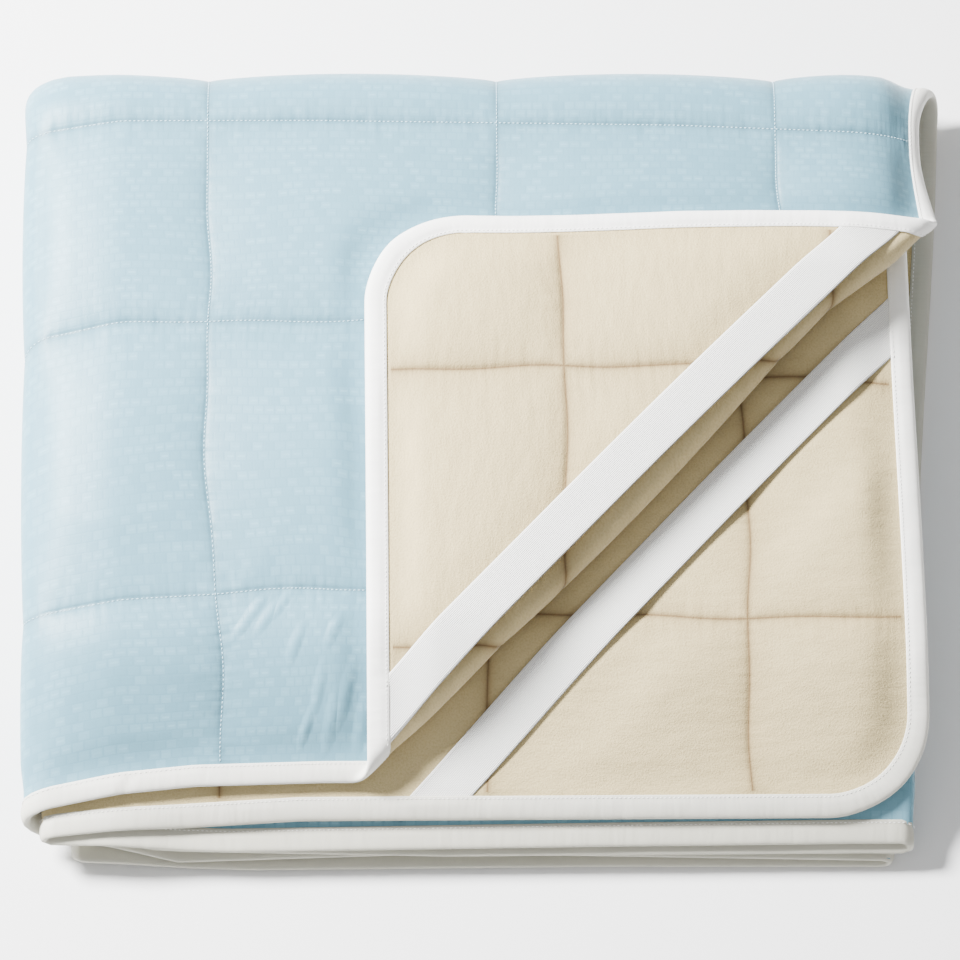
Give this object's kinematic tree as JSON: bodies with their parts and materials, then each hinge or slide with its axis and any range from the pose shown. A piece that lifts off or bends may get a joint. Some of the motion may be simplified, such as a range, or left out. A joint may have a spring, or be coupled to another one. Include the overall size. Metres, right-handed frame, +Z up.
{
  "type": "mattress protector",
  "caption": "Quilted mattress protector folded into a flat stack, with bound edges, elastic corner straps and the top corner turned back.",
  "frame": {"origin": "centre of the folded stack's footprint, on the surface that it rests on", "axes": "+X to the right along the layers' length, +Y to the back fold, +Z up; the front edge with its layered bindings faces -Y"},
  "size_m": [0.5198, 0.4566, 0.0873],
  "materials": {
    "quilted_cloth": "smooth quilted microfibre on one side, short beige plush on the other",
    "binding_tape": "matt woven tape",
    "elastic": "ribbed elastic"
  },
  "bodies": {
    "root": {"quilted_panel": "quilted_cloth", "edge_binding": "binding_tape", "strap_turned_back_corner": "elastic", "strap_second_layer": "elastic", "strap_bottom_layer": "elastic", "strap_layer_above_bottom": "elastic"}
  },
  "joints": []
}
